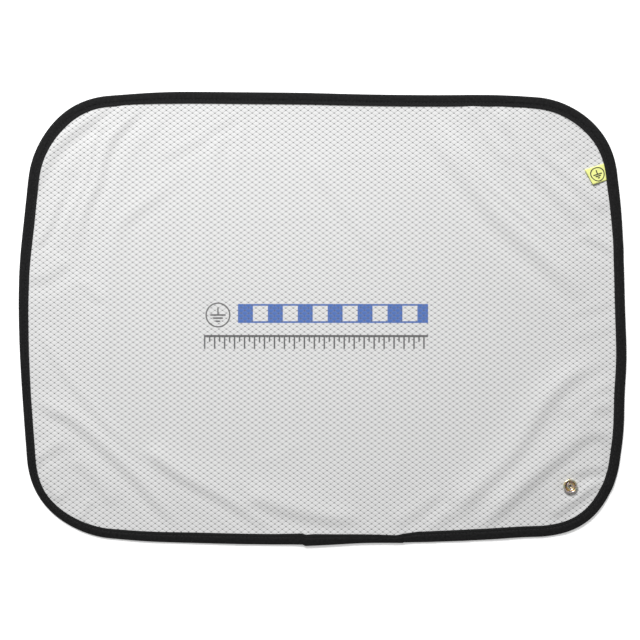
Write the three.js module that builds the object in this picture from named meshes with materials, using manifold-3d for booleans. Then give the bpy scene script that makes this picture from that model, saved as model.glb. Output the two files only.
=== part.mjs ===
// Anti static bench cover: a sheet of white grid fabric, bound all round with a folded black
// tape, with an earthing snap near one corner and a ribbon label sewn in near another.
// Millimetres, +Z up. It lies flat on the bench at z = 0, long side along X, label side at +Y.

import * as THREE from 'three';
import { mergeVertices } from 'three/addons/utils/BufferGeometryUtils.js';
import Module from 'manifold-3d';

const wasm = await Module();
wasm.setup();

// Outline over the tape: four shallow bows joined by round corners
const coverLength = 609.6;
const coverWidth = 453;
const endBowRadius = 1250;
const sideBowRadius = 4770;
const cornerRadius = 87;

// Cloth layers, and the slack between one layer and the next
const fabricThickness = 0.4;
const layerGap = 0.05;

// Edge tape, folded in half over the fabric's edge, its two ends lapped at the front
const tapeThickness = 0.7;
const tapeReach = 11;
const foldRounding = 0.8;
const foldSlack = 0.3;
const lapStart = -18.5;
const lapEnd = 86.5;
const lapThickness = 0.7;

// Ribbon label, folded in two and caught under the tape at the right-hand end
const labelWidth = 17;
const labelShown = 18.3;
const labelTucked = 5;
const labelThickness = 0.3;
const labelFromBack = 79.4;
const labelTurn = THREE.MathUtils.degToRad(18.4);
const labelSideSlack = 0.4;

// Snap: a ring socket on the face, held by an eyelet pressed through from the back
const snapFromEnd = 57.6;
const snapFromFront = 58.7;
const socketRadius = 7.1;
const socketHeight = 3.6;
const socketNeckRadius = 6.3;
const rimRoll = 0.75;
const rimLand = 0.5;
const bowlFloorRadius = 3.8;
const bowlFloorThickness = 0.5;
const barrelRadius = 2;
const barrelBore = 1.3;
const barrelSlack = 0.3;
const lipRadius = 3.2;
const lipHeight = 0.9;
const flangeRadius = 5;
const flangeThickness = 0.5;

// Number of straight steps in curved edges
const bowSteps = 8;
const cornerSteps = 14;
const turnedSteps = 36;
const rollSteps = 4;

// Heights of the layers above the bench
const fabricBottom = tapeThickness + layerGap;
const fabricTop = fabricBottom + fabricThickness;
const tapeTop = fabricTop + layerGap + tapeThickness;

const fabricCloth = new THREE.MeshStandardMaterial({ color: 0xe6e6e6, roughness: 0.85, metalness: 0 });
const tapeWeave = new THREE.MeshStandardMaterial({ color: 0x26262a, roughness: 0.9, metalness: 0 });
const labelSatin = new THREE.MeshStandardMaterial({ color: 0xe8ec86, roughness: 0.6, metalness: 0 });
const snapMetal = new THREE.MeshStandardMaterial({ color: 0xb9a878, roughness: 0.3, metalness: 1 });

// Centres of the end bow, the side bow and the corner arc of the outline's +X +Y quarter.
// The corner arc touches both bows from inside.
function quarterCentres() {
  const end = new THREE.Vector2(coverLength / 2 - endBowRadius, 0);
  const side = new THREE.Vector2(0, coverWidth / 2 - sideBowRadius);
  const fromEnd = endBowRadius - cornerRadius;
  const fromSide = sideBowRadius - cornerRadius;
  const link = side.clone().sub(end);
  const span = link.length();
  link.normalize();
  const along = (fromEnd ** 2 - fromSide ** 2 + span ** 2) / (2 * span);
  const across = Math.sqrt(fromEnd ** 2 - along ** 2);
  const corner = new THREE.Vector2(
    end.x + link.x * along - link.y * across,
    end.y + link.y * along + link.x * across,
  );
  return { end, side, corner };
}

// The cover's outline, moved inwards by inset all round
function outline(inset) {
  const { end, side, corner } = quarterCentres();
  const endAngle = Math.atan2(corner.y - end.y, corner.x - end.x);
  const sideAngle = Math.atan2(corner.y - side.y, corner.x - side.x);
  const endRadius = endBowRadius - inset;
  const sideRadius = sideBowRadius - inset;
  const turnRadius = cornerRadius - inset;
  const arcs = [
    [end.x, 0, endRadius, -endAngle, endAngle, bowSteps],
    [corner.x, corner.y, turnRadius, endAngle, sideAngle, cornerSteps],
    [0, side.y, sideRadius, sideAngle, Math.PI - sideAngle, bowSteps],
    [-corner.x, corner.y, turnRadius, Math.PI - sideAngle, Math.PI - endAngle, cornerSteps],
    [-end.x, 0, endRadius, Math.PI - endAngle, Math.PI + endAngle, bowSteps],
    [-corner.x, -corner.y, turnRadius, Math.PI + endAngle, Math.PI + sideAngle, cornerSteps],
    [0, -side.y, sideRadius, Math.PI + sideAngle, 2 * Math.PI - sideAngle, bowSteps],
    [corner.x, -corner.y, turnRadius, 2 * Math.PI - sideAngle, 2 * Math.PI - endAngle, cornerSteps],
  ];
  const points = arcs.flatMap(([x, y, radius, from, to, steps]) => {
    const arc = new THREE.EllipseCurve(x, y, radius, radius, from, to);
    return arc.getPoints(steps).slice(0, -1);
  });
  return new THREE.Shape(points);
}

// A flat layer of cloth between two heights
function layer(shape, bottom, top) {
  const geometry = new THREE.ExtrudeGeometry(shape, { depth: top - bottom, bevelEnabled: false });
  return geometry.translate(0, 0, bottom);
}

// A profile of (radius, height) points turned about the snap's axis
function turned(profile) {
  const closed = [...profile, profile[0]];
  const points = closed.map(([radius, height]) => new THREE.Vector2(radius, height));
  const geometry = new THREE.LatheGeometry(points, turnedSteps);
  return geometry.rotateX(Math.PI / 2);
}

// Points on an arc of a turned profile, from one angle to another, in degrees
function roll(centreRadius, centreHeight, radius, from, to) {
  return Array.from({ length: rollSteps + 1 }, (_, step) => {
    const angle = THREE.MathUtils.degToRad(from + ((to - from) * step) / rollSteps);
    return [centreRadius + radius * Math.cos(angle), centreHeight + radius * Math.sin(angle)];
  });
}

function toSolid(geometry) {
  geometry.deleteAttribute('normal');
  geometry.deleteAttribute('uv');
  const merged = mergeVertices(geometry);
  return new wasm.Manifold(new wasm.Mesh({
    numProp: 3,
    vertProperties: merged.attributes.position.array,
    triVerts: Uint32Array.from(merged.index.array),
  }));
}

function toGeometry(solid) {
  const mesh = solid.getMesh();
  const geometry = new THREE.BufferGeometry();
  geometry.setAttribute('position', new THREE.BufferAttribute(mesh.vertProperties, 3));
  geometry.setIndex(new THREE.BufferAttribute(mesh.triVerts, 1));
  geometry.computeVertexNormals();
  return geometry;
}

// Where the label comes out from under the tape: the point of the tape's inner edge at the
// label's height, on the corner arc or, nearer the middle, on the end bow
function labelExit() {
  const { end, corner } = quarterCentres();
  const y = coverWidth / 2 - labelFromBack;
  const cornerStartsAt = corner.y * (endBowRadius - tapeReach) / (endBowRadius - cornerRadius);
  if (y > cornerStartsAt) {
    return new THREE.Vector2(corner.x + Math.sqrt((cornerRadius - tapeReach) ** 2 - (y - corner.y) ** 2), y);
  }
  return new THREE.Vector2(end.x + Math.sqrt((endBowRadius - tapeReach) ** 2 - y ** 2), y);
}

// The label's flat outline, grown on both sides and at its hidden end by slack
function labelOutline(slack) {
  const exit = labelExit();
  const halfWidth = labelWidth / 2 + slack;
  const reach = labelTucked + slack;
  const corners = [[-labelShown, -halfWidth], [reach, -halfWidth], [reach, halfWidth], [-labelShown, halfWidth]];
  const points = corners.map(([along, across]) => {
    return new THREE.Vector2(along, across).rotateAround(new THREE.Vector2(), labelTurn).add(exit);
  });
  return new THREE.Shape(points);
}

function snapPosition() {
  return new THREE.Vector2(coverLength / 2 - snapFromEnd, snapFromFront - coverWidth / 2);
}

// The fabric reaches into the tape's fold, and is punched for the eyelet's barrel
function coverFabric() {
  const sheet = outline(tapeThickness + foldSlack);
  const snap = snapPosition();
  const hole = new THREE.Path();
  hole.absarc(snap.x, snap.y, barrelRadius + barrelSlack, 0, 2 * Math.PI, true);
  sheet.holes.push(hole);
  return layer(sheet, fabricBottom, fabricTop);
}

// One tape, folded round the fabric's edge into an upper and a lower leg. Its second end lies
// over the first for the length of the lap, and the label goes in under the upper leg.
function edgeBinding() {
  const band = new THREE.ExtrudeGeometry(outline(foldRounding), {
    depth: tapeTop - 2 * foldRounding,
    bevelThickness: foldRounding,
    bevelSize: foldRounding,
    bevelSegments: 3,
  });
  band.translate(0, 0, foldRounding);
  const window = layer(outline(tapeReach), -tapeThickness, tapeTop + 2 * lapThickness);
  const slot = layer(outline(tapeThickness), tapeThickness, fabricTop + layerGap);
  const pocket = layer(labelOutline(labelSideSlack), fabricTop, fabricTop + labelThickness + 2 * layerGap);

  const lapLength = lapEnd - lapStart;
  const lapStretch = new THREE.BoxGeometry(lapLength, coverWidth, 2 * lapThickness);
  lapStretch.translate(lapStart + lapLength / 2, -coverWidth / 2, tapeTop);
  const lap = toSolid(layer(outline(foldRounding), tapeTop - tapeThickness / 2, tapeTop + lapThickness))
    .intersect(toSolid(lapStretch));

  return toGeometry(toSolid(band).add(lap)
    .subtract(toSolid(window))
    .subtract(toSolid(slot))
    .subtract(toSolid(pocket)));
}

// The socket's bowl is open at the top, inside a rolled rim with a narrow flat land
function snapSocket() {
  const base = fabricTop + layerGap;
  const rimTop = base + socketHeight;
  const rollHeight = rimTop - rimRoll;
  const outerRoll = socketRadius - rimRoll;
  const innerRoll = outerRoll - rimLand;
  return turned([
    [barrelRadius + barrelSlack, base],
    [socketNeckRadius, base],
    ...roll(outerRoll, rollHeight, rimRoll, -80, 90),
    ...roll(innerRoll, rollHeight, rimRoll, 90, 200),
    [bowlFloorRadius, base + bowlFloorThickness],
    [barrelRadius + barrelSlack, base + bowlFloorThickness],
  ]);
}

// Flange under the fabric, barrel through fabric and socket, and a lip rolled over the bowl's floor
function snapEyelet() {
  const flangeTop = fabricBottom - layerGap;
  const flangeBottom = flangeTop - flangeThickness;
  const lipBottom = fabricTop + layerGap + bowlFloorThickness + layerGap;
  const lipRoll = lipHeight / 2;
  return turned([
    [barrelBore, flangeBottom],
    ...roll(flangeRadius - flangeThickness / 2, flangeBottom + flangeThickness / 2, flangeThickness / 2, -90, 90),
    [barrelRadius, flangeTop],
    [barrelRadius, lipBottom],
    ...roll(lipRadius - lipRoll, lipBottom + lipRoll, lipRoll, -90, 90),
    ...roll(barrelBore + lipRoll, lipBottom + lipRoll, lipRoll, 90, 180),
  ]);
}

function piece(name, geometry, material) {
  const mesh = new THREE.Mesh(geometry, material);
  mesh.name = name;
  return mesh;
}

const cover = new THREE.Group();
cover.add(piece('cover_fabric', coverFabric(), fabricCloth));
cover.add(piece('edge_binding', edgeBinding(), tapeWeave));
cover.add(piece('label_tag', layer(labelOutline(0), fabricTop + layerGap,
  fabricTop + layerGap + labelThickness), labelSatin));

const snap = new THREE.Group();
snap.position.set(snapPosition().x, snapPosition().y, 0);
snap.add(piece('snap_socket', snapSocket(), snapMetal));
snap.add(piece('snap_eyelet', snapEyelet(), snapMetal));
cover.add(snap);

export default cover;
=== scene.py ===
import math
import bmesh
import bpy
import numpy as np
from mathutils import Matrix, Vector


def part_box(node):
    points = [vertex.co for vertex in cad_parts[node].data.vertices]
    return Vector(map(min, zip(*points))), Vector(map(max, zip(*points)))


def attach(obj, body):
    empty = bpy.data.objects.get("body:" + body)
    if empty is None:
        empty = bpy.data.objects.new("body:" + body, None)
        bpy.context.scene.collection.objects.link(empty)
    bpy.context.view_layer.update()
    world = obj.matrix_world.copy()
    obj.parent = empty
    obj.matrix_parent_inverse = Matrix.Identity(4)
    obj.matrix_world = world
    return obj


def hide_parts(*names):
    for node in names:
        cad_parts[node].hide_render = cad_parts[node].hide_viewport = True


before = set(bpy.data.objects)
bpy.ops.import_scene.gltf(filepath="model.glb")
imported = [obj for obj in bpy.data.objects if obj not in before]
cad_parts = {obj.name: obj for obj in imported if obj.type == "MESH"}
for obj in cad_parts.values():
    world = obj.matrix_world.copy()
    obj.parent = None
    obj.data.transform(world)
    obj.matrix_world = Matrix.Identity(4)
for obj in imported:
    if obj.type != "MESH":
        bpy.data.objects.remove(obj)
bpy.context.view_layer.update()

# The camera looks straight down on the cover, from above the middle of the picture. The even
# outline's middle shows at COVER_MIDDLE, and the cover's 610 mm fill 607 of the 640 pixels.
MM = 0.001
PICTURE_SIDE = 640
COVER_MIDDLE = (323.1, 318.5)
METRES_PER_PIXEL = 1.0038 * MM
CAMERA_HEIGHT = 1.1
SENSOR_SIDE = 36.0


def from_picture(x, y):
    """A place on the cover, in metres, from its pixel in the picture."""
    return ((x - COVER_MIDDLE[0]) * METRES_PER_PIXEL, (COVER_MIDDLE[1] - y) * METRES_PER_PIXEL)


camera_lens = bpy.data.cameras.new("camera")
camera_lens.sensor_width = SENSOR_SIDE
camera_lens.lens = SENSOR_SIDE * CAMERA_HEIGHT / (PICTURE_SIDE * METRES_PER_PIXEL)
camera = bpy.data.objects.new("camera", camera_lens)
bpy.context.scene.collection.objects.link(camera)
camera.location = (*from_picture(PICTURE_SIDE / 2, PICTURE_SIDE / 2), CAMERA_HEIGHT)
bpy.context.scene.camera = camera

# The sewn edge of the cover: four shallow bows and round corners, as the solids have them, drawn
# in here and there by the sewing. Everything that follows the edge reads it from this table.
END_BOW_RADIUS = 1.250
SIDE_BOW_RADIUS = 4.770
CORNER_RADIUS = 0.087
EDGE_STEP = 1 * MM
DRAWN_IN = 0.4 * MM
# Where the edge strays from the even bow: direction from the middle and spread, in degrees, and
# how far out it lies, in millimetres
EDGE_STRAYS = [
    (5, 12, -2.1), (26, 3, -0.8), (41, 6, -0.6), (51, 6, 1.5), (75, 16, -1.5), (95, 8, 0.5),
    (115, 10, 1.4), (127, 7, 2.6), (140, 3, 0.8), (150, 6, -2.0), (162, 4, -0.9), (172, 8, 0.9),
    (198, 8, -0.8), (212, 7, 0.9), (221, 5.5, -2.6), (231, 5, 0.5), (250, 12, 0.5), (281, 6, -1.6),
    (290, 6, -0.4), (305, 9, -1.4), (314, 4.5, -2.0), (322, 4, 1.4), (339, 5, 1.7), (346, 3, -0.7),
    (352, 5, 1.4),
]


def arc_points(middle, radius, start, stop):
    """Points along an arc, one about every EDGE_STEP, without its last."""
    count = max(8, round(radius * (stop - start) / EDGE_STEP))
    angles = np.linspace(start, stop, count, endpoint=False)
    return np.column_stack((middle[0] + radius * np.cos(angles), middle[1] + radius * np.sin(angles)))


def ways_out(points):
    """Directions out of a closed line of points, square to it."""
    ahead = np.roll(points, -1, 0) - np.roll(points, 1, 0)
    out = np.column_stack((ahead[:, 1], -ahead[:, 0]))
    return out / np.linalg.norm(out, axis=1)[:, None]


def edge_table():
    """Points and outward directions all round the sewn edge, anticlockwise, and the way to each."""
    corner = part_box("edge_binding")[1]
    end = Vector((corner.x - END_BOW_RADIUS, 0))
    side = Vector((0, corner.y - SIDE_BOW_RADIUS))
    from_end = END_BOW_RADIUS - CORNER_RADIUS
    from_side = SIDE_BOW_RADIUS - CORNER_RADIUS
    link = side - end
    along = (from_end**2 - from_side**2 + link.length_squared) / (2 * link.length)
    across = math.sqrt(from_end**2 - along**2)
    link.normalize()
    turn = end + link * along + Vector((-link.y, link.x)) * across
    a = math.atan2(turn.y - end.y, turn.x - end.x)
    b = math.atan2(turn.y - side.y, turn.x - side.x)
    pi = math.pi
    points = np.concatenate([
        arc_points(end, END_BOW_RADIUS, -a, a),
        arc_points(turn, CORNER_RADIUS, a, b),
        arc_points(side, SIDE_BOW_RADIUS, b, pi - b),
        arc_points((-turn.x, turn.y), CORNER_RADIUS, pi - b, pi - a),
        arc_points(-end, END_BOW_RADIUS, pi - a, pi + a),
        arc_points((-turn.x, -turn.y), CORNER_RADIUS, pi + a, pi + b),
        arc_points(-side, SIDE_BOW_RADIUS, pi + b, 2 * pi - b),
        arc_points((turn.x, -turn.y), CORNER_RADIUS, 2 * pi - b, 2 * pi - a),
    ])
    direction = np.degrees(np.arctan2(points[:, 1], points[:, 0]))
    stray = -DRAWN_IN
    for at, spread, height in EDGE_STRAYS:
        from_stray = (direction - at + 180) % 360 - 180
        stray = stray + height * MM * np.exp(-0.5 * (from_stray / spread) ** 2)
    points = points + ways_out(points) * stray[:, None]
    steps = np.linalg.norm(np.roll(points, -1, 0) - points, axis=1)
    return points, ways_out(points), np.concatenate(([0], np.cumsum(steps)))


EDGE_POINTS, EDGE_OUT, EDGE_WAY = edge_table()
EDGE_LENGTH = EDGE_WAY[-1]


def edge_at(way):
    """Points on the sewn edge and the directions out of it, at distances along it."""
    way = np.mod(way, EDGE_LENGTH)
    closed = [np.append(column, column[0]) for column in (*EDGE_POINTS.T, *EDGE_OUT.T)]
    x, y, out_x, out_y = (np.interp(way, EDGE_WAY, column) for column in closed)
    return np.column_stack((x, y)), np.column_stack((out_x, out_y))


# How the cloth lies: a limp sheet that was folded for packing and then smoothed out by hand, so
# it rests on the bench with low creases, which fan out of the corners under the tape.
CLOTH_THICKNESS = 0.4 * MM
CLOTH_AT_TAPE = sum(corner.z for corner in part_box("cover_fabric")) / 2
CLOTH_LYING = 0.45 * MM
SAG_LENGTH = 14 * MM
# Creases with a steep side: fall over the crease, rise of a ridge along it and half its width,
# all in millimetres, and the line of the fall in the picture's pixels, high side on the left.
CREASES = [
    # fanning out of the far left corner
    (1.3, 0.2, 6, [(28, 205), (40, 182), (50, 163), (62, 147), (78, 133), (100, 118), (125, 100)]),
    (0.5, 0.3, 2.6, [(62, 240), (70, 218), (78, 202), (86, 185), (91, 168), (95, 145), (99, 132)]),
    (1.15, -0.1, 5, [(83, 260), (85, 225), (92, 202), (101, 185),
                     (107, 160), (117, 138), (132, 121), (150, 100)]),
    (0.6, 0.4, 4, [(96, 134), (115, 121), (133, 104)]),
    (0.22, 0, 4.5, [(122, 190), (130, 163), (142, 147), (158, 130), (180, 104)]),
    (0.15, 0, 3.5, [(160, 138), (180, 133), (198, 125), (213, 117), (235, 104)]),
    (0.4, -0.2, 5.5, [(155, 163), (172, 157), (188, 149), (202, 142),
                      (213, 132), (228, 124), (262, 106)]),
    (0.75, 0, 6.5, [(115, 410), (116, 330), (117, 290), (119, 255),
                    (123, 230), (134, 218), (155, 202), (200, 168)]),
    (0.7, 0, 5.3, [(214, 318), (215, 270), (216, 230), (215, 185), (220, 150), (226, 135)]),
    (0.5, 0, 3, [(243, 175), (244, 145), (247, 110)]),
    (0.8, -0.15, 4, [(37, 252), (46, 238), (53, 225), (61, 204), (65, 190)]),
    (0.7, -0.4, 6.5, [(22, 282), (38, 282), (50, 279), (61, 271), (74, 259)]),
    (0.5, 0.1, 5, [(80, 281), (86, 289), (94, 298), (107, 303)]),
    # fanning out of the far right corner
    (1.8, 0, 9, [(416, 120), (450, 165), (480, 206), (497, 225),
                 (515, 242), (553, 276), (590, 318)]),
    (0.5, 0.35, 3.4, [(418, 100), (440, 131), (456, 150), (474, 170),
                      (490, 190), (525, 222), (570, 264)]),
    (0.85, 0.3, 5, [(462, 100), (472, 117), (484, 134), (496, 152), (510, 172)]),
    (1.4, -0.3, 7, [(485, 100), (500, 124), (512, 140), (522, 160),
                    (533, 176), (565, 210), (592, 245)]),
    (1.15, 0.4, 6, [(517, 100), (522, 122), (537, 152), (550, 165),
                    (565, 178), (592, 205), (603, 218)]),
    (0.9, 0, 5.5, [(576, 236), (590, 242), (603, 248), (622, 260)]),
    (0.35, -0.1, 5, [(568, 318), (583, 314), (598, 310), (620, 301)]),
    (0.25, 0, 5, [(572, 340), (585, 338), (599, 335), (620, 328)]),
    (0.25, 0.1, 6, [(545, 154), (560, 147), (578, 142)]),
    (0.3, -0.3, 6, [(566, 172), (580, 160), (592, 148)]),
    # faint ones across the middle
    (0.55, 0, 6.5, [(300, 152), (315, 177), (330, 197), (345, 217), (361, 240), (378, 260)]),
    (0.11, 0, 3.5, [(328, 163), (345, 162), (370, 160), (395, 159), (432, 163)]),
    (0.08, 0.05, 3.5, [(232, 160), (258, 159), (285, 158)]),
    (0.1, 0.05, 3.5, [(245, 219), (275, 222), (300, 218), (325, 219)]),
    (0.1, 0.2, 3.5, [(250, 464), (268, 461), (282, 457), (292, 449), (305, 446)]),
    (0.23, 0.2, 5, [(397, 500), (401, 470), (402, 450), (392, 410), (386, 390), (382, 365)]),
    # fanning out of the near left corner
    (0.6, 0.15, 4.8, [(28, 315), (46, 348), (60, 371), (75, 391),
                      (92, 411), (108, 430), (145, 466)]),
    (1.35, 0, 6.2, [(22, 395), (52, 414), (66, 420), (80, 430),
                    (97, 445), (131, 478), (157, 508), (186, 540)]),
    (0.8, 0.4, 6, [(30, 466), (43, 461), (53, 452), (67, 443)]),
    (1.0, -0.3, 4.5, [(46, 455), (44, 475), (50, 492), (62, 506)]),
    (0.7, 0.3, 6, [(68, 462), (80, 469), (92, 480), (102, 492), (112, 512)]),
    (0.5, 0.1, 4, [(82, 522), (88, 510), (94, 500)]),
    (1.2, 0.35, 6, [(140, 450), (152, 459), (167, 471), (185, 482),
                    (222, 501), (240, 512), (256, 522), (275, 533)]),
    (1.3, 0.05, 7.5, [(240, 500), (256, 505), (275, 511), (295, 516),
                      (315, 520), (340, 523), (370, 524)]),
    # fanning out of the near right corner
    (0.8, 0.9, 6.5, [(447, 530), (470, 502), (486, 487), (520, 452),
                     (545, 411), (560, 392), (577, 377), (625, 358)]),
    (0.35, 0.8, 5.5, [(565, 420), (575, 410), (586, 401), (600, 391), (622, 382)]),
    (0.95, 0.75, 6.2, [(478, 535), (490, 523), (520, 495), (540, 477),
                       (562, 459), (582, 443), (600, 438), (614, 452)]),
    (0.8, 0.1, 6, [(590, 412), (602, 410), (615, 409)]),
    (1.2, -0.7, 6, [(572, 480), (584, 475), (596, 472), (610, 470)]),
    (1.4, -0.8, 6, [(548, 520), (562, 513), (576, 503), (592, 490), (605, 480)]),
    (0.65, 0, 6.5, [(394, 530), (407, 521), (421, 513), (433, 503), (446, 493)]),
    (0.8, 0, 7, [(432, 533), (443, 523), (456, 512)]),
]
# Soft ridges: height and half width, in millimetres, and the line of the ridge
RIDGES = [
    (0.4, 12, [(140, 440), (165, 456), (190, 467), (215, 477),
               (242, 487), (270, 494), (305, 501), (340, 512)]),
    (0.7, 14, [(440, 525), (465, 493), (490, 466), (512, 440), (530, 412), (552, 388), (590, 360)]),
    (1.5, 14, [(480, 520), (505, 495), (530, 470), (555, 446), (580, 424), (620, 400)]),
    (0.3, 12, [(70, 180), (80, 160), (95, 143), (120, 120)]),
    (0.4, 9, [(572, 492), (592, 486), (615, 478)]),
]
LINE_STEPS = 6
# A crease fades out over this share of its line at each end. Its ridge and the swell that the
# cloth needs so as not to dip into the bench die away over more half widths, here squared.
FADE_SHARE = 0.18
RIDGE_SPREAD = 5
SWELL_SPREAD = 25
SWELL_SHARE = 0.45
CREASE_REACH = 9
RIDGE_REACH = 3


def smooth_line(picture_points):
    """A smooth line through points given in the picture's pixels, in metres."""
    points = np.array([from_picture(x, y) for x, y in picture_points])
    points = np.vstack((2 * points[0] - points[1], points, 2 * points[-1] - points[-2]))
    line = []
    for before, start, stop, after in zip(points, points[1:], points[2:], points[3:]):
        for t in np.arange(LINE_STEPS) / LINE_STEPS:
            line.append(0.5 * (2 * start + (stop - before) * t
                               + (2 * before - 5 * start + 4 * stop - after) * t**2
                               + (3 * start - before - 3 * stop + after) * t**3))
    return np.array(line + [points[-2]])


def ease(t):
    """0 to 1, with no sudden start or end."""
    t = np.clip(t, 0, 1)
    return t * t * (3 - 2 * t)


def beside_line(places, line):
    """Distance of each place from a line, positive on its left, and the fade at its two ends."""
    nearest = np.full(len(places), np.inf)
    distance = np.zeros(len(places))
    along = np.zeros(len(places))
    for step, (start, stop) in enumerate(zip(line, line[1:])):
        run = stop - start
        to_place = places - start
        t = np.clip(to_place @ run / (run @ run), 0, 1)
        gap = to_place - t[:, None] * run
        squared = (gap**2).sum(1)
        closer = squared < nearest
        side = np.sign(run[0] * to_place[:, 1] - run[1] * to_place[:, 0])
        nearest[closer] = squared[closer]
        distance[closer] = (side * np.sqrt(squared))[closer]
        along[closer] = (step + t[closer]) / (len(line) - 1)
    fade = ease(along / FADE_SHARE) * ease((1 - along) / FADE_SHARE)
    return distance, fade


def near_line(places, line, reach):
    """Which places lie within reach of the box round a line."""
    return np.all((places > line.min(0) - reach) & (places < line.max(0) + reach), axis=1)


def crease_height(places):
    """How far the creases lift the cloth at places given as x and y in metres."""
    height = np.zeros(len(places))
    swell = np.zeros(len(places))
    for fall, rise, half_width, points in CREASES:
        line = smooth_line(points)
        near = near_line(places, line, CREASE_REACH * half_width * MM)
        distance, fade = beside_line(places[near], line)
        d = distance / (half_width * MM)
        steep = fall / 2 * d * np.exp(0.5 - d**2 / 2)
        ridge = rise * np.exp(-d**2 / RIDGE_SPREAD)
        height[near] += (steep + ridge) * fade * MM
        needed = SWELL_SHARE * abs(fall) + max(0, -rise)
        held_up = needed * np.exp(-d**2 / SWELL_SPREAD) * fade * MM
        swell[near] = np.maximum(swell[near], held_up)
    for rise, half_width, points in RIDGES:
        line = smooth_line(points)
        near = near_line(places, line, RIDGE_REACH * half_width * MM)
        distance, fade = beside_line(places[near], line)
        height[near] += rise * np.exp(-(distance / (half_width * MM)) ** 2) * fade * MM
    return height + swell


# The bench would stop a crease from dipping lower than this, so a deeper one is pressed flat
LOWEST_DIP = -0.22 * MM
PRESS_SOFTNESS = 0.08 * MM


def lift(places, lowest=LOWEST_DIP):
    """Height of the cloth over its flat lie, never so low that it would sink into the bench."""
    above = (crease_height(places) - lowest) / PRESS_SOFTNESS
    return lowest + PRESS_SOFTNESS * np.logaddexp(0, above)


# cover_fabric: the white cloth itself, a dissipative weave with dark conductive yarns crossing it
# in a diamond grid, cut to the outline and held all round in the fold of the tape.
CLOTH_ROWS = 178
CLOTH_COLUMNS = 238
CLOTH_INSIDE_TAPE = 1.1 * MM
DRAWN_IN_POWER = 4
snap_low, snap_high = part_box("snap_socket")
SNAP_AT = np.array([(snap_low.x + snap_high.x) / 2, (snap_low.y + snap_high.y) / 2])
SNAP_HOLE_RADIUS = 2.2 * MM
CUT_AWAY = 0.88 * SNAP_HOLE_RADIUS
NEAR_SNAP = 4 * SNAP_HOLE_RADIUS


def mesh_points(mesh):
    points = np.empty(len(mesh.vertices) * 3)
    mesh.vertices.foreach_get("co", points)
    return points.reshape(-1, 3)


def set_mesh_points(mesh, points):
    mesh.vertices.foreach_set("co", np.ascontiguousarray(points, dtype=np.float32).ravel())
    mesh.update()


def set_flat_map(mesh, flat):
    """Gives each vertex its place on the flat cloth, in metres, as the UV map."""
    corners = np.empty(len(mesh.loops), dtype=np.int32)
    mesh.loops.foreach_get("vertex_index", corners)
    layer = mesh.uv_layers.new(name="flat_cloth")
    layer.data.foreach_set("uv", np.ascontiguousarray(flat[corners], dtype=np.float32).ravel())


def new_piece(name, mesh, material):
    """Puts a finished mesh in the scene as a smooth-shaded piece of the cover."""
    mesh.polygons.foreach_set("use_smooth", [True] * len(mesh.polygons))
    mesh.materials.append(material)
    piece = bpy.data.objects.new(name, mesh)
    bpy.context.scene.collection.objects.link(piece)
    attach(piece, "root")
    return piece


def thicken(piece, thickness):
    wall = piece.modifiers.new("thickness", "SOLIDIFY")
    wall.thickness = thickness
    wall.offset = 0


def cloth_mesh():
    """A fine grid drawn in to the cut outline, with a round hole where the snap goes through."""
    bm = bmesh.new()
    bmesh.ops.create_grid(bm, x_segments=CLOTH_COLUMNS, y_segments=CLOTH_ROWS, size=1)
    mesh = bpy.data.meshes.new("cover_cloth")
    bm.to_mesh(mesh)
    bm.free()

    square = mesh_points(mesh)[:, :2]
    cut = EDGE_POINTS - EDGE_OUT * CLOTH_INSIDE_TAPE
    half = cut.max(0)
    flat = square * half
    angle = np.arctan2(flat[:, 1], flat[:, 0])
    cut_angle = np.arctan2(cut[:, 1], cut[:, 0])
    order = np.argsort(cut_angle)
    cut_reach = np.linalg.norm(cut, axis=1)
    to_cut = np.interp(angle, cut_angle[order], cut_reach[order], period=2 * math.pi)
    out = np.abs(square).max(1)
    to_box = np.linalg.norm(flat, axis=1) / np.maximum(out, 1e-9)
    squeeze = 1 + (to_cut / np.maximum(to_box, 1e-9) - 1) * out**DRAWN_IN_POWER
    flat *= squeeze[:, None]

    to_snap = flat - SNAP_AT
    away = np.linalg.norm(to_snap, axis=1)
    bm = bmesh.new()
    set_mesh_points(mesh, np.column_stack((flat, np.zeros(len(flat)))))
    bm.from_mesh(mesh)
    bm.verts.ensure_lookup_table()
    inside = [face for face in bm.faces if min(away[v.index] for v in face.verts) < CUT_AWAY]
    bmesh.ops.delete(bm, geom=inside, context="FACES")
    bm.verts.ensure_lookup_table()
    for vert in bm.verts:
        gap = vert.co.xy - Vector(SNAP_AT)
        if vert.is_boundary and gap.length < NEAR_SNAP:
            vert.co.xy = Vector(SNAP_AT) + gap.normalized() * SNAP_HOLE_RADIUS
    bm.to_mesh(mesh)
    bm.free()
    return mesh


cloth = cloth_mesh()
cloth_flat = mesh_points(cloth)[:, :2].copy()
set_flat_map(cloth, cloth_flat)


def inside_edge(places):
    """How far in from the sewn edge each place lies."""
    nearest = np.full(len(places), np.inf)
    for x, y in EDGE_POINTS[::8]:
        nearest = np.minimum(nearest, (places[:, 0] - x) ** 2 + (places[:, 1] - y) ** 2)
    return np.sqrt(nearest)


# Held up at the tape and on the snap's flange, and sagging to the bench between them
TAPE_HELD = 11 * MM
SNAP_HELD = 7 * MM
SNAP_CALM = 6 * MM
SNAP_CALM_FADE = 10 * MM
held_by_tape = np.exp(-np.maximum(inside_edge(cloth_flat) - TAPE_HELD, 0) / SAG_LENGTH)
from_snap = np.linalg.norm(cloth_flat - SNAP_AT, axis=1)
held_by_snap = np.exp(-np.maximum(from_snap - SNAP_HELD, 0) / SAG_LENGTH)
held = np.maximum(held_by_tape, held_by_snap)
calm = ease((from_snap - SNAP_CALM) / SNAP_CALM_FADE)
cloth_rise = lift(cloth_flat) * calm
cloth_points = np.column_stack((
    cloth_flat,
    CLOTH_LYING + (CLOTH_AT_TAPE - CLOTH_LYING) * held + cloth_rise,
))
set_mesh_points(cloth, cloth_points)


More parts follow.
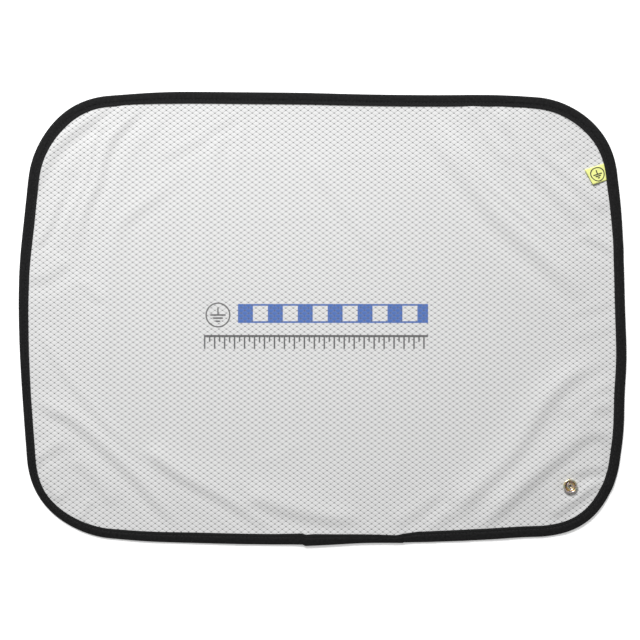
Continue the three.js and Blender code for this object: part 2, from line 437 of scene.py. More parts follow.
def math_node(tree, operation, first, second=None, clamp=False):
    """A Math node fed by sockets or plain numbers, and its result."""
    node = tree.nodes.new("ShaderNodeMath")
    node.operation = operation
    node.use_clamp = clamp
    for socket, value in zip(node.inputs, (first, second)):
        if isinstance(value, (int, float)):
            socket.default_value = value
        elif value is not None:
            tree.links.new(value, socket)
    return node.outputs[0]


def band(tree, value, edge, softness):
    """1 where value is under edge, fading to 0 over softness."""
    node = tree.nodes.new("ShaderNodeMapRange")
    node.interpolation_type = "SMOOTHSTEP"
    tree.links.new(value, node.inputs["Value"])
    node.inputs["From Min"].default_value = edge
    node.inputs["From Max"].default_value = edge + softness
    node.inputs["To Min"].default_value = 1
    node.inputs["To Max"].default_value = 0
    return node.outputs["Result"]


def mix_colour(tree, factor, first, second):
    """A colour between two, each a socket or a plain colour."""
    node = tree.nodes.new("ShaderNodeMix")
    node.data_type = "RGBA"
    if isinstance(factor, (int, float)):
        node.inputs["Factor"].default_value = factor
    else:
        tree.links.new(factor, node.inputs["Factor"])
    for socket, value in zip(("A", "B"), (first, second)):
        socket = [s for s in node.inputs if s.name == socket and s.type == "RGBA"][0]
        if isinstance(value, tuple):
            socket.default_value = (*value, 1)
        else:
            tree.links.new(value, socket)
    return [s for s in node.outputs if s.type == "RGBA"][0]


def new_group(name, inputs, outputs):
    """An empty shader node group with float inputs and their defaults, a Vector and outputs."""
    group = bpy.data.node_groups.new(name, "ShaderNodeTree")
    group.interface.new_socket("Vector", in_out="INPUT", socket_type="NodeSocketVector")
    for socket_name, value in inputs.items():
        socket = group.interface.new_socket(socket_name, in_out="INPUT", socket_type="NodeSocketFloat")
        socket.default_value = value
    for socket_name in outputs:
        group.interface.new_socket(socket_name, in_out="OUTPUT", socket_type="NodeSocketFloat")
    return group, group.nodes.new("NodeGroupInput"), group.nodes.new("NodeGroupOutput")


def use_group(tree, group, vector, **values):
    node = tree.nodes.new("ShaderNodeGroup")
    node.node_tree = group
    tree.links.new(vector, node.inputs["Vector"])
    for name, value in values.items():
        node.inputs[name.replace("_", " ")].default_value = value
    return node


def plain_weave_group():
    """Plain weave: warp and weft threads a Pitch apart that go over and under each other.
    Height is the cloth's surface, Tone a slight difference from thread to thread."""
    group, source, result = new_group(
        "plain_weave", {"Pitch": 0.4 * MM, "Unevenness": 0.3}, ["Height", "Tone"])
    split = group.nodes.new("ShaderNodeSeparateXYZ")
    group.links.new(source.outputs["Vector"], split.inputs[0])
    waves = []
    for axis in ("X", "Y"):
        turns = math_node(group, "DIVIDE", split.outputs[axis], source.outputs["Pitch"])
        waves.append(math_node(group, "SINE", math_node(group, "MULTIPLY", turns, math.pi)))
    over = math_node(group, "MULTIPLY", waves[0], waves[1])
    height = math_node(group, "ABSOLUTE", over)
    speckle = group.nodes.new("ShaderNodeTexNoise")
    speckle.inputs["Scale"].default_value = 900
    speckle.inputs["Detail"].default_value = 3
    group.links.new(source.outputs["Vector"], speckle.inputs["Vector"])
    rough = math_node(group, "MULTIPLY", speckle.outputs["Fac"], source.outputs["Unevenness"])
    group.links.new(math_node(group, "ADD", height, rough), result.inputs["Height"])
    group.links.new(speckle.outputs["Fac"], result.inputs["Tone"])
    return group


def yarn_grid_group():
    """Conductive yarns in a diamond grid, Across by Down from corner to corner of a diamond.
    Yarn is 1 on a yarn, Knot 1 where two cross, and Puff the cloth's swell inside a diamond."""
    group, source, result = new_group(
        "yarn_grid",
        {"Across": 7.48 * MM, "Down": 5.35 * MM, "Yarn Width": 0.05, "Knot Size": 0.11},
        ["Yarn", "Knot", "Puff"],
    )
    split = group.nodes.new("ShaderNodeSeparateXYZ")
    group.links.new(source.outputs["Vector"], split.inputs[0])
    x = math_node(group, "DIVIDE", split.outputs["X"], source.outputs["Across"])
    y = math_node(group, "DIVIDE", split.outputs["Y"], source.outputs["Down"])
    gaps = []
    swells = []
    for operation in ("ADD", "SUBTRACT"):
        turn = math_node(group, operation, x, y)
        part = math_node(group, "FRACT", turn)
        from_middle = math_node(group, "ABSOLUTE", math_node(group, "SUBTRACT", part, 0.5))
        gaps.append(math_node(group, "SUBTRACT", 0.5, from_middle))
        swells.append(math_node(group, "SINE", math_node(group, "MULTIPLY", part, math.pi)))
    nearest = math_node(group, "MINIMUM", gaps[0], gaps[1])
    farthest = math_node(group, "MAXIMUM", gaps[0], gaps[1])
    for name, value, size in (("Yarn", nearest, "Yarn Width"), ("Knot", farthest, "Knot Size")):
        share = math_node(group, "DIVIDE", value, source.outputs[size])
        group.links.new(band(group, share, edge=0.7, softness=0.6), result.inputs[name])
    swell = math_node(group, "MULTIPLY", swells[0], swells[1])
    group.links.new(math_node(group, "POWER", swell, 0.5), result.inputs["Puff"])
    return group


PLAIN_WEAVE = plain_weave_group()
YARN_GRID = yarn_grid_group()

# The print in the middle of the cloth: a measuring scale in blue, a rule under it in grey, and
# the sign for an earthing point beside them, each named by its corners in the picture
SCALE_CORNERS = ((238, 304), (428, 323))
SCALE_FRAME = 1.8 * MM
SCALE_CELL = 15 * MM
RULE_CORNERS = ((204, 335), (428, 349))
RULE_LINE = 2.2 * MM
TICK_PITCH = 5 * MM
TICK_WIDTH = 1.5 * MM
SIGN_MIDDLE = (218, 315)
SIGN_RADIUS = 12.5 * MM
SIGN_LINE = 1.3 * MM


def new_material(name, roughness):
    material = bpy.data.materials.new(name)
    material.use_nodes = True
    surface = material.node_tree.nodes["Principled BSDF"]
    surface.inputs["Roughness"].default_value = roughness
    return material, material.node_tree, surface


def flat_cloth_place(tree):
    node = tree.nodes.new("ShaderNodeUVMap")
    node.uv_map = "flat_cloth"
    return node.outputs["UV"]


def bump(tree, surface, height, strength, distance):
    node = tree.nodes.new("ShaderNodeBump")
    node.inputs["Strength"].default_value = strength
    node.inputs["Distance"].default_value = distance
    tree.links.new(height, node.inputs["Height"])
    tree.links.new(node.outputs["Normal"], surface.inputs["Normal"])
    return node


def any_of(tree, *masks):
    found = masks[0]
    for mask in masks[1:]:
        found = math_node(tree, "MAXIMUM", found, mask)
    return found


def all_of(tree, *masks):
    found = masks[0]
    for mask in masks[1:]:
        found = math_node(tree, "MULTIPLY", found, mask)
    return found


def window(tree, x, y, left, right, bottom, top):
    """1 inside a box on the flat cloth."""
    return all_of(
        tree,
        math_node(tree, "GREATER_THAN", x, left),
        math_node(tree, "LESS_THAN", x, right),
        math_node(tree, "GREATER_THAN", y, bottom),
        math_node(tree, "LESS_THAN", y, top),
    )


def repeated(tree, x, start, pitch, width):
    """1 on stripes of a width that repeat at a pitch from start on."""
    turns = math_node(tree, "DIVIDE", math_node(tree, "SUBTRACT", x, start), pitch)
    return math_node(tree, "LESS_THAN", math_node(tree, "FRACT", turns), width / pitch)


def earth_sign(tree, x, y, radius, line):
    """A ring round the drawing sign for earth: a lead that comes down on three shorter and
    shorter bars. x and y are measured from its middle."""
    lead = 0.62 * radius
    half_bars = (0.62 * radius, 0.4 * radius, 0.18 * radius)
    bar_pitch = 0.25 * radius
    half_bar_line = 0.6 * line
    squares = (math_node(tree, "MULTIPLY", x, x), math_node(tree, "MULTIPLY", y, y))
    from_middle = math_node(tree, "SQRT", math_node(tree, "ADD", *squares))
    from_ring = math_node(tree, "SUBTRACT", from_middle, radius - line / 2)
    strokes = [
        math_node(tree, "LESS_THAN", math_node(tree, "ABSOLUTE", from_ring), line / 2),
        window(tree, x, y, -line / 2, line / 2, 0, lead),
    ]
    for step, half_bar in enumerate(half_bars):
        low = -step * bar_pitch - half_bar_line
        strokes.append(window(tree, x, y, -half_bar, half_bar, low, low + 2 * half_bar_line))
    return any_of(tree, *strokes)


def ink_masks(tree, place):
    """Where the blue ink and where the grey ink lies on the flat cloth."""
    split = tree.nodes.new("ShaderNodeSeparateXYZ")
    tree.links.new(place, split.inputs[0])
    x, y = split.outputs["X"], split.outputs["Y"]

    (left, top), (right, bottom) = (from_picture(*corner) for corner in SCALE_CORNERS)
    outside = window(tree, x, y, left, right, bottom, top)
    line = SCALE_FRAME
    inside = window(tree, x, y, left + line, right - line, bottom + line, top - line)
    cell = repeated(tree, x, left, 2 * SCALE_CELL, SCALE_CELL)
    hollow = all_of(tree, inside, math_node(tree, "SUBTRACT", 1, cell))
    blue = all_of(tree, outside, math_node(tree, "SUBTRACT", 1, hollow))

    (left, top), (right, bottom) = (from_picture(*corner) for corner in RULE_CORNERS)
    base_line = window(tree, x, y, left, right, top - RULE_LINE, top)
    short = all_of(tree, window(tree, x, y, left, right, (top + bottom) / 2, top),
                   repeated(tree, x, left, TICK_PITCH, TICK_WIDTH))
    long = all_of(tree, window(tree, x, y, left, right, bottom, top),
                  repeated(tree, x, left, 2 * TICK_PITCH, TICK_WIDTH))
    sign_x, sign_y = from_picture(*SIGN_MIDDLE)
    sign = earth_sign(tree, math_node(tree, "SUBTRACT", x, sign_x),
                      math_node(tree, "SUBTRACT", y, sign_y), SIGN_RADIUS, SIGN_LINE)
    return blue, any_of(tree, base_line, short, long, sign)


def cloth_material():
    material, tree, surface = new_material("grid_fabric", roughness=0.9)
    place = flat_cloth_place(tree)
    wander_by = 2 * MM
    wander = tree.nodes.new("ShaderNodeTexNoise")
    wander.inputs["Scale"].default_value = 9
    wander.inputs["Detail"].default_value = 1
    tree.links.new(place, wander.inputs["Vector"])
    centred = tree.nodes.new("ShaderNodeVectorMath")
    centred.operation = "SUBTRACT"
    tree.links.new(wander.outputs["Color"], centred.inputs[0])
    middle_of_noise = 0.5
    centred.inputs[1].default_value = (middle_of_noise,) * 3
    drift = tree.nodes.new("ShaderNodeVectorMath")
    drift.operation = "MULTIPLY_ADD"
    tree.links.new(centred.outputs[0], drift.inputs[0])
    drift.inputs[1].default_value = (wander_by, wander_by, 0)
    tree.links.new(place, drift.inputs[2])
    grid = use_group(tree, YARN_GRID, drift.outputs[0])
    weave = use_group(tree, PLAIN_WEAVE, place, Pitch=0.38 * MM)

    cotton = (0.68, 0.68, 0.68)
    shaded_cotton = (0.64, 0.64, 0.64)
    yarn = (0.24, 0.24, 0.24)
    yarn_cover = 0.6
    knot = (0.07, 0.07, 0.07)
    knot_cover = 0.95
    blue_ink = (0.07, 0.15, 0.43)
    grey_ink = (0.11, 0.11, 0.11)
    colour = mix_colour(tree, weave.outputs["Tone"], shaded_cotton, cotton)

    scale_print, rule_print = ink_masks(tree, place)
    colour = mix_colour(tree, scale_print, colour, blue_ink)
    colour = mix_colour(tree, rule_print, colour, grey_ink)
    yarns = math_node(tree, "MULTIPLY", grid.outputs["Yarn"], yarn_cover)
    knots = math_node(tree, "MULTIPLY", grid.outputs["Knot"], knot_cover)
    colour = mix_colour(tree, yarns, colour, yarn)
    colour = mix_colour(tree, knots, colour, knot)
    tree.links.new(colour, surface.inputs["Base Color"])

    weave_share = 0.12
    fine = math_node(tree, "MULTIPLY", weave.outputs["Height"], weave_share)
    height = math_node(tree, "ADD", grid.outputs["Puff"], fine)
    bump(tree, surface, height, strength=0.45, distance=0.3 * MM)
    return material


cover_cloth = new_piece("cover_cloth", cloth, cloth_material())
thicken(cover_cloth, CLOTH_THICKNESS)
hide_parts("cover_fabric")

# edge_binding: one black woven tape, 25 mm wide, folded over the cloth's edge and sewn through
# with a single row of lockstitch. Its second end lies over the first at the front of the cover.
TAPE_THICKNESS = 0.7 * MM
TAPE_LOW = TAPE_THICKNESS / 2
TAPE_OVER_CLOTH = 0.05 * MM
TAPE_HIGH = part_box("cover_fabric")[1].z + TAPE_OVER_CLOTH + TAPE_THICKNESS / 2
TAPE_STEP = 1.6 * MM
TAPE_CROWN = 0.35 * MM
STITCH_DIP = 0.4 * MM
STITCH_DIP_SHARE = 0.08
UNDER_TAPE = 6 * MM
# The lap: the picture's columns where the tape's second end and its first end stop, how far the
# second end stands out over the first, and the lengths over which the tape rises and narrows
LAP_COLUMNS = (304, 403)
LAP_START, LAP_END = (from_picture(column, 0)[0] for column in LAP_COLUMNS)
LAP_LENGTH = LAP_END - LAP_START
LAP_OUT = 1.0 * MM
LAP_STEP = 2 * MM
LAP_SETTLES = 25 * MM
LAP_STAYS_OUT = 0.5
LAP_LIFTS_OFF = 8 * MM
LAP_COMES_DOWN = 12 * MM
LAP_COMES_OUT = 9 * MM
HIDDEN_WIDTH = 6.6 * MM
# How much of the tape shows, in millimetres, by direction from the cover's middle
TAPE_SHOWS = [
    (0, 10.0), (15, 9.9), (24, 11.3), (36, 11.8), (48, 11.1), (70, 11.1), (110, 11.4), (124, 11.4),
    (130, 10.4), (143, 11.7), (155, 10.3), (163, 10.7), (180, 9.4), (195, 8.4), (205, 8.5), (212, 7.5),
    (222, 9.1), (240, 10.3), (258, 10.3), (268, 11.2), (275, 9.6), (280, 8.5), (288, 7.4), (293, 10.4),
    (304, 11.0), (318, 10.6), (330, 10.4), (345, 10.4),
]
# Steps over each leg and over the fold of the tape's cross-section, and the place of the
# stitches, as a share of the way in from the fold
LEG_STEPS = 7
FOLD_STEPS = 6
STITCH_SHARE = 0.68


def tape_section():
    """Rows of the folded tape from its lower inner edge round to its upper one: the share of
    the showing width that each lies in from the edge, what is added to that, and its height."""
    rows = []
    for t in np.linspace(1, 0, LEG_STEPS, endpoint=False):
        rows.append((t, 0, TAPE_LOW))
    radius = (TAPE_HIGH - TAPE_LOW) / 2
    for angle in np.linspace(-90, -270, FOLD_STEPS):
        turn = math.radians(angle)
        rows.append((0, radius * math.cos(turn), TAPE_LOW + radius + radius * math.sin(turn)))
    for t in np.linspace(0, 1, 2 * LEG_STEPS + 1)[1:]:
        crown = TAPE_CROWN * math.sin(math.pi * min(1, 1.1 * t)) ** 0.7
        stitch_dip = STITCH_DIP * math.exp(-(((t - STITCH_SHARE) / STITCH_DIP_SHARE) ** 2))
        rows.append((t, 0, TAPE_HIGH + crown - stitch_dip))
    return np.array(rows)


SECTION = tape_section()
FLAT_LEG = 10 * MM
TAPE_FACE_MIDDLE = 16.2 * MM


def lap_way():
    """The way along the edge at which the tape starts, on the front side at LAP_START."""
    front = EDGE_POINTS[:, 1] < 0
    nearest = np.argmin(np.where(front, np.abs(EDGE_POINTS[:, 0] - LAP_START), np.inf))
    return EDGE_WAY[nearest]


TAPE_START = lap_way()


def showing_width(points):
    direction = np.degrees(np.arctan2(points[:, 1], points[:, 0]))
    at, widths = zip(*TAPE_SHOWS)
    return np.interp(direction, at, widths, period=360) * MM


def tape_mesh():
    """A long grid, wrapped along the sewn edge once and on over its own start."""
    length = EDGE_LENGTH + LAP_LENGTH
    columns = round(length / TAPE_STEP)
    bm = bmesh.new()
    bmesh.ops.create_grid(bm, x_segments=columns, y_segments=len(SECTION) - 1, size=1)
    mesh = bpy.data.meshes.new("binding_tape")
    bm.to_mesh(mesh)
    bm.free()
    square = mesh_points(mesh)[:, :2]
    way = (square[:, 0] + 1) / 2 * length
    row = np.rint((square[:, 1] + 1) / 2 * (len(SECTION) - 1)).astype(int)

    edge, out = edge_at(TAPE_START + way)
    width = showing_width(edge)
    hidden = way < LAP_LENGTH
    comes_out = ease((way - LAP_LENGTH + LAP_COMES_OUT) / LAP_COMES_OUT)
    width = np.where(hidden, HIDDEN_WIDTH + (width - HIDDEN_WIDTH) * comes_out, width)
    past_start = way - EDGE_LENGTH
    settled = LAP_STAYS_OUT + np.exp(-np.maximum(past_start, 0) / LAP_SETTLES)
    over = ease((past_start + LAP_STEP / 2) / LAP_STEP) * settled
    share, extra, height = SECTION[row].T
    fold_radius = (TAPE_HIGH - TAPE_LOW) / 2
    inwards = share * width + (1 - share) * fold_radius + extra
    inwards = np.where(extra != 0, fold_radius + extra, inwards)
    lifts_off = ease((way + LAP_LIFTS_OFF) / LAP_LIFTS_OFF)
    comes_down = ease((LAP_LENGTH + LAP_COMES_DOWN - way) / LAP_COMES_DOWN)
    climbs_over = ease((past_start + LAP_COMES_DOWN) / LAP_COMES_DOWN)
    height = height + np.clip(lifts_off * comes_down + climbs_over, 0, 1) * TAPE_THICKNESS
    places = edge - out * (inwards - over * LAP_OUT)[:, None]
    points = np.column_stack((places, height + lift(edge - out * UNDER_TAPE, 0)))
    set_mesh_points(mesh, points)

    section_line = np.column_stack((SECTION[:, 0] * FLAT_LEG + SECTION[:, 1], SECTION[:, 2]))
    steps = np.linalg.norm(np.diff(section_line, axis=0), axis=1)
    across = np.concatenate(([0], np.cumsum(steps)))
    set_flat_map(mesh, np.column_stack((way, across[row])))
    return mesh


def tape_material():
    """Black woven tape with a painted sheen: a greyer band along the flat of its face, where it would
    catch the light, broken up by noise. The fold and the inner edge keep the plain black."""
    material, tree, surface = new_material("binding_tape", roughness=0.8)
    place = flat_cloth_place(tree)
    weave = use_group(tree, PLAIN_WEAVE, place, Pitch=0.55 * MM, Unevenness=0.8)
    split = tree.nodes.new("ShaderNodeSeparateXYZ")
    tree.links.new(place, split.inputs[0])
    from_middle = math_node(tree, "SUBTRACT", split.outputs["Y"], TAPE_FACE_MIDDLE)
    flat_face = band(tree, math_node(tree, "ABSOLUTE", from_middle),
                     edge=2.6 * MM, softness=2.4 * MM)
    sheen_breakup = tree.nodes.new("ShaderNodeTexNoise")
    sheen_breakup.inputs["Scale"].default_value = 420
    sheen_breakup.inputs["Detail"].default_value = 4
    sheen_breakup.inputs["Roughness"].default_value = 0.7
    tree.links.new(place, sheen_breakup.inputs["Vector"])
    sheen_kept = band(tree, sheen_breakup.outputs["Fac"], edge=0.36, softness=0.3)
    # painted sheen: the flat of the tape's face is coloured greyer where it would catch the light,
    # except where the noise breaks it up
    painted_sheen = math_node(tree, "MULTIPLY", flat_face, sheen_kept)
    black = (0.0025, 0.0025, 0.0026)
    thread = (0.0055, 0.0055, 0.0058)
    sheen_grey = (0.012, 0.012, 0.0124)
    colour = mix_colour(tree, weave.outputs["Tone"], black, thread)
    colour = mix_colour(tree, painted_sheen, sheen_grey, colour)
    tree.links.new(colour, surface.inputs["Base Color"])
    surface.inputs["Specular IOR Level"].default_value = 0.2
    bump(tree, surface, weave.outputs["Height"], strength=0.8, distance=0.25 * MM)
    return material


TAPE_CLOTH = tape_material()
binding = new_piece("binding_tape", tape_mesh(), TAPE_CLOTH)
thicken(binding, TAPE_THICKNESS)
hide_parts("edge_binding")

# binding_stitches: the row of lockstitch along the tape, in black thread, one stitch about every
# 3.5 mm, drawn down into the tape on the face and again on the underside.
STITCH_PITCH = 3.5 * MM
STITCH_LENGTH = 2.7 * MM
STITCH_WIDTH = 0.5 * MM
STITCH_HEIGHT = 0.44 * MM
STITCH_SUNK = 0.06 * MM
STITCH_TOP = TAPE_HIGH + TAPE_THICKNESS / 2 - STITCH_SUNK
STITCH_UNDER = 0.22 * MM


def stitch_mesh():
    """Two rows of rounded stitches, one on the tape's face and one on its underside."""
    count = round(EDGE_LENGTH / STITCH_PITCH)
    edge, out = edge_at(TAPE_START + np.arange(count) * EDGE_LENGTH / count)
    places = edge - out * (STITCH_SHARE * showing_width(edge))[:, None]
    rise = lift(edge - out * UNDER_TAPE, 0)

    bm = bmesh.new()
    size = Matrix.Diagonal((STITCH_LENGTH / 2, STITCH_WIDTH / 2, STITCH_HEIGHT / 2, 1))
    bmesh.ops.create_icosphere(bm, subdivisions=1, radius=1, matrix=size)
    one = bpy.data.meshes.new("one_stitch")
    bm.to_mesh(one)
    bm.free()
    stitch = mesh_points(one)

    rows = bmesh.new()
    for _ in range(2 * count):
        rows.from_mesh(one)
    mesh = bpy.data.meshes.new("binding_stitches")
    rows.to_mesh(mesh)
    rows.free()
    along = np.column_stack((-out[:, 1], out[:, 0]))
    lengthways = stitch[None, :, 0, None] * along[:, None]
    flat = places[:, None] + lengthways + stitch[None, :, 1, None] * out[:, None]
    points = []
    for level in (STITCH_TOP, STITCH_UNDER):
        height = level + rise[:, None] + stitch[None, :, 2]
        points.append(np.concatenate((flat, height[..., None]), axis=2).reshape(-1, 3))
    set_mesh_points(mesh, np.concatenate(points))
    return mesh


def thread_material():
    material, tree, surface = new_material("sewing_thread", roughness=0.6)
    surface.inputs["Base Color"].default_value = (0.016, 0.016, 0.017, 1)
    surface.inputs["Specular IOR Level"].default_value = 0.3
    return material


stitches = new_piece("binding_stitches", stitch_mesh(), thread_material())

# label_tag: a short piece of pale yellow satin ribbon, folded in two with its cut ends caught
# under the tape at the right-hand end. Its printed mark is a plain ring round an earth sign.
LABEL_FAR_TOP = (583.9, 170.2)
LABEL_NEAR_TOP = (603.5, 163.7)
LABEL_NEAR_BOTTOM = (607.1, 180.2)
LABEL_FAR_BOTTOM = (592.2, 185.1)
LABEL_THICKNESS = 0.15 * MM
LABEL_TUCKED = 5 * MM
LABEL_SHOWN = 18.3 * MM
LABEL_WIDTH = 17 * MM
LABEL_FOLD = 0.45 * MM
LABEL_SQUASHED = 10 * MM
LABEL_MIDDLE_HEIGHT = 0.55 * MM
LABEL_SQUASH = 0.22 * MM
LABEL_TUCK_DEPTH = 0.35 * MM
LABEL_TUCK_FADE = 2 * MM
LABEL_GAP_CLOSES = 0.55
LABEL_CURL = 0.9 * MM
LABEL_CORNER_CURL = 0.4
LABEL_SIGN_IN = 9.5 * MM
LABEL_SIGN_RADIUS = 7.4 * MM
LABEL_SIGN_LINE = 1.1 * MM
LABEL_ROWS = 14
LABEL_STEPS = 60


def label_mesh():
    """A ribbon that runs out from under the tape, turns over at its fold and runs back."""
    bm = bmesh.new()
    bmesh.ops.create_grid(bm, x_segments=LABEL_STEPS, y_segments=LABEL_ROWS, size=1)
    mesh = bpy.data.meshes.new("ribbon_label")
    bm.to_mesh(mesh)
    bm.free()
    square = mesh_points(mesh)[:, :2]
    leaf = LABEL_TUCKED + LABEL_SHOWN
    way = (square[:, 0] + 1) * leaf
    upper = way > leaf
    from_fold = np.abs(way - leaf)
    near_share = (from_fold / LABEL_SHOWN)[:, None]
    across = ((square[:, 1] + 1) / 2)[:, None]
    corners = [np.array(from_picture(*corner)) for corner in
               (LABEL_FAR_TOP, LABEL_NEAR_TOP, LABEL_NEAR_BOTTOM, LABEL_FAR_BOTTOM)]
    far = corners[3] + (corners[0] - corners[3]) * across
    near = corners[2] + (corners[1] - corners[2]) * across
    places = far + (near - far) * near_share
    ground = lift(places, 0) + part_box("cover_fabric")[1].z
    turn = np.clip(from_fold / LABEL_FOLD, 0, math.pi / 2)
    gap = LABEL_FOLD * np.sin(turn) * np.where(upper, 1, -1)
    lifts = 1 - LABEL_CORNER_CURL * (1 - across[:, 0])
    curl = LABEL_CURL * ease(1 - from_fold / LABEL_SHOWN) * lifts
    squash = ease(from_fold / LABEL_SQUASHED)
    leaf_gap = gap * (1 - LABEL_GAP_CLOSES * squash)
    tucked = ease((from_fold - LABEL_SHOWN + LABEL_TUCK_FADE) / LABEL_TUCK_FADE)
    middle = LABEL_MIDDLE_HEIGHT - LABEL_SQUASH * squash - LABEL_TUCK_DEPTH * tucked
    set_mesh_points(mesh, np.column_stack((places, ground + middle + leaf_gap + curl)))
    signed_way = np.where(upper, from_fold, -from_fold)
    set_flat_map(mesh, np.column_stack((signed_way, square[:, 1] * LABEL_WIDTH / 2)))
    return mesh


def label_material():
    material, tree, surface = new_material("label_ribbon", roughness=0.5)
    place = flat_cloth_place(tree)
    weave = use_group(tree, PLAIN_WEAVE, place, Pitch=0.25 * MM, Unevenness=0.3)
    split = tree.nodes.new("ShaderNodeSeparateXYZ")
    tree.links.new(place, split.inputs[0])
    across = math_node(tree, "SUBTRACT", split.outputs["X"], LABEL_SIGN_IN)
    mark = earth_sign(tree, across, split.outputs["Y"], LABEL_SIGN_RADIUS, LABEL_SIGN_LINE)
    yellow = (0.78, 0.82, 0.2)
    pale = (0.86, 0.88, 0.36)
    ink = (0.03, 0.03, 0.025)
    face = all_of(tree, mark, math_node(tree, "GREATER_THAN", split.outputs["X"], 0))
    colour = mix_colour(tree, weave.outputs["Tone"], yellow, pale)
    colour = mix_colour(tree, face, colour, ink)
    tree.links.new(colour, surface.inputs["Base Color"])
    bump(tree, surface, weave.outputs["Height"], strength=0.4, distance=0.06 * MM)
    return material


label = new_piece("ribbon_label", label_mesh(), label_material())
thicken(label, LABEL_THICKNESS)
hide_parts("label_tag")

# snap_socket and snap_eyelet, the earthing snap: a ring socket of plated brass with a rolled rim,
# held on the cloth by an eyelet that is pressed through from the back and rolled over in its bowl.
SPIN_STEPS = 72


def turned_mesh(name, profile):
    """A closed profile of radius and height, in millimetres, turned about the snap's axis."""
    bm = bmesh.new()
    ring = [bm.verts.new((SNAP_AT[0] + r * MM, SNAP_AT[1], z * MM)) for r, z in profile]
    edges = [bm.edges.new((a, b)) for a, b in zip(ring, ring[1:] + ring[:1])]
    bmesh.ops.spin(bm, geom=ring + edges, cent=(*SNAP_AT, 0), axis=(0, 0, 1),
                   angle=2 * math.pi, steps=SPIN_STEPS, use_merge=True)
    bmesh.ops.remove_doubles(bm, verts=bm.verts, dist=1e-6)
    bmesh.ops.recalc_face_normals(bm, faces=bm.faces)
    mesh = bpy.data.meshes.new(name)
    bm.to_mesh(mesh)
    bm.free()
    return mesh


def roll(middle, height, radius, start, stop, steps=8):
    """Points on an arc of a profile, between two angles in degrees."""
    turns = np.radians(np.linspace(start, stop, steps))
    return [(middle + radius * math.cos(a), height + radius * math.sin(a)) for a in turns]


def metal_material():
    """Brass-plated steel with a passivated film, which goes from gold to green and mauve, with painted
    shade making it dark down in the eyelet's bore."""
    material, tree, surface = new_material("snap_metal", roughness=0.27)
    surface.inputs["Metallic"].default_value = 1
    place = tree.nodes.new("ShaderNodeTexCoord").outputs["Object"]
    clouds = []
    for scale, detail in ((210, 1), (330, 1), (1500, 4)):
        cloud = tree.nodes.new("ShaderNodeTexNoise")
        cloud.inputs["Scale"].default_value = scale
        cloud.inputs["Detail"].default_value = detail
        tree.links.new(place, cloud.inputs["Vector"])
        clouds.append(cloud.outputs["Fac"])
    gold = (0.93, 0.76, 0.45)
    green = (0.7, 0.74, 0.55)
    mauve = (0.78, 0.67, 0.69)
    painted_bore_shade = (0.06, 0.045, 0.025)
    greenish = band(tree, clouds[0], edge=0.44, softness=0.12)
    mauvish = band(tree, clouds[1], edge=0.4, softness=0.1)
    colour = mix_colour(tree, greenish, gold, green)
    colour = mix_colour(tree, mauvish, colour, mauve)
    from_axis = tree.nodes.new("ShaderNodeVectorMath")
    from_axis.operation = "DISTANCE"
    flat = tree.nodes.new("ShaderNodeVectorMath")
    flat.operation = "MULTIPLY"
    tree.links.new(place, flat.inputs[0])
    flat.inputs[1].default_value = (1, 1, 0)
    tree.links.new(flat.outputs[0], from_axis.inputs[0])
    from_axis.inputs[1].default_value = (*SNAP_AT, 0)
    # painted shade: the metal is coloured nearly black down in the eyelet's bore, where little light
    # would reach
    in_bore = band(tree, from_axis.outputs["Value"], edge=1.35 * MM, softness=0.25 * MM)
    colour = mix_colour(tree, in_bore, colour, painted_bore_shade)
    tree.links.new(colour, surface.inputs["Base Color"])
    bump(tree, surface, clouds[2], strength=0.3, distance=0.06 * MM)
    return material


# The ring socket from its hole out along its foot, over the rolled rim and down into the bowl
base = snap_low.z / MM
rim = snap_high.z / MM
socket_hole = 2.3
socket_plate = 0.36
rim_outside = 6.3
rim_inside = 6.0
rim_roll = 0.8
socket_profile = [
    (socket_hole, base), (rim_outside - 0.2, base), (rim_outside, base + 0.2),
    *roll(rim_outside, rim - rim_roll, rim_roll, -75, 80),
    *roll(rim_inside, rim - 0.78, 0.78, 95, 200),
    (4.9, base + 1.5), (4.2, base + 0.8), (3.9, base + 0.55), (3.6, base + 0.5),
    (3.4, base + socket_plate), (socket_hole, base + socket_plate),
]
BRASS = metal_material()
socket = new_piece("ring_socket", turned_mesh("ring_socket", socket_profile), BRASS)
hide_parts("snap_socket")

# The eyelet from its bore out over its flange at the back, up its barrel and over its lip
eyelet_low, eyelet_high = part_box("snap_eyelet")
back = eyelet_low.z / MM
lip = eyelet_high.z / MM
bore = 1.3
barrel = 2.0
lip_roll = 0.45
flange = 4.75
flange_roll = 0.25
eyelet_profile = [
    (bore, back + 0.1), (bore + 0.2, back), (flange - 0.15, back),
    *roll(flange, back + flange_roll, flange_roll, -90, 90, 5),
    (barrel, back + 2 * flange_roll), (barrel, lip - 2 * lip_roll),
    *roll(barrel + 0.75, lip - lip_roll, lip_roll, -90, 90),
    *roll(barrel - 0.15, lip - 0.55, 0.55, 90, 180),
]
eyelet = new_piece("pressed_eyelet", turned_mesh("pressed_eyelet", eyelet_profile), BRASS)
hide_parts("snap_eyelet")

# The studio: a white table top that is as bright as the picture's plain ground, one soft light
# over the cover's far side, and a white room that is brighter on that side.
FLOOR_SIDE = 6.0
FLOOR_GLOW = 0.3
UNDER_COVER = (0.26, 0.185)
LAMP_PLACE = (-0.52, 1.60, 1.41)
LAMP_TARGET = (0.01, -0.02, 0)
LAMP_SIZE = 0.8
LAMP_SPREAD = 108
LAMP_POWER = 21.8
ROOM_TONE = 0.36
ROOM_SWING = 0.7
BRIGHT_SIDE = (-0.1, 1, 0)
BACKDROP_TONE = 0.85


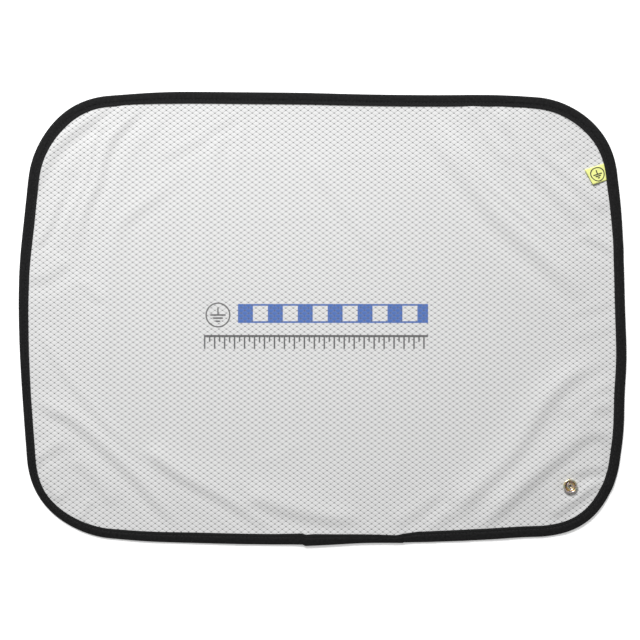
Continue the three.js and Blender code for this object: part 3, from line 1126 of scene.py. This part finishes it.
def studio_floor():
    """A plain white floor with a faint glow of its own, but none under the cover."""
    bm = bmesh.new()
    bmesh.ops.create_grid(bm, x_segments=1, y_segments=1, size=FLOOR_SIDE / 2)
    mesh = bpy.data.meshes.new("floor")
    bm.to_mesh(mesh)
    bm.free()
    material, tree, surface = new_material("floor", roughness=0.9)
    surface.inputs["Base Color"].default_value = (0.93, 0.93, 0.93, 1)
    place = tree.nodes.new("ShaderNodeTexCoord").outputs["Object"]
    split = tree.nodes.new("ShaderNodeSeparateXYZ")
    tree.links.new(place, split.inputs[0])
    half_x, half_y = UNDER_COVER
    under = window(tree, split.outputs["X"], split.outputs["Y"], -half_x, half_x, -half_y, half_y)
    glow = mix_colour(tree, under, (1, 1, 1), (0, 0, 0))
    tree.links.new(glow, surface.inputs["Emission Color"])
    surface.inputs["Emission Strength"].default_value = FLOOR_GLOW
    mesh.materials.append(material)
    floor = bpy.data.objects.new("floor", mesh)
    bpy.context.scene.collection.objects.link(floor)


def softbox():
    """The one lamp, a round soft box aimed at the cover's middle."""
    light = bpy.data.lights.new("softbox", "AREA")
    light.shape = "DISK"
    light.size = LAMP_SIZE
    light.spread = math.radians(LAMP_SPREAD)
    light.energy = LAMP_POWER
    lamp = bpy.data.objects.new("softbox", light)
    lamp.location = LAMP_PLACE
    aim = Vector(LAMP_TARGET) - Vector(LAMP_PLACE)
    lamp.rotation_euler = aim.to_track_quat("-Z", "Y").to_euler()
    bpy.context.scene.collection.objects.link(lamp)


def room_sky():
    """A white room, brighter towards the horizon on one side and darker on the other, that the
    camera itself sees as a plain backdrop."""
    world = bpy.data.worlds.new("room")
    world.use_nodes = True
    tree = world.node_tree
    direction = tree.nodes.new("ShaderNodeTexCoord").outputs["Generated"]
    towards = tree.nodes.new("ShaderNodeVectorMath")
    towards.operation = "DOT_PRODUCT"
    tree.links.new(direction, towards.inputs[0])
    towards.inputs[1].default_value = BRIGHT_SIDE
    split = tree.nodes.new("ShaderNodeSeparateXYZ")
    tree.links.new(direction, split.inputs[0])
    below_top = math_node(tree, "SUBTRACT", 1, split.outputs["Z"], clamp=True)
    low = math_node(tree, "POWER", below_top, 1.5)
    swing = math_node(tree, "MULTIPLY", towards.outputs["Value"], ROOM_SWING)
    strength = math_node(tree, "ADD", math_node(tree, "MULTIPLY", swing, low), ROOM_TONE, clamp=True)
    seen = tree.nodes.new("ShaderNodeLightPath").outputs["Is Camera Ray"]
    shown = math_node(tree, "MULTIPLY", seen, BACKDROP_TONE)
    hidden = math_node(tree, "SUBTRACT", 1, seen)
    strength = math_node(tree, "ADD", math_node(tree, "MULTIPLY", strength, hidden), shown)
    background = tree.nodes["Background"]
    background.inputs["Color"].default_value = (1, 1, 1, 1)
    tree.links.new(strength, background.inputs["Strength"])
    bpy.context.scene.world = world


studio_floor()
softbox()
room_sky()
bpy.context.scene.view_settings.view_transform = "Standard"
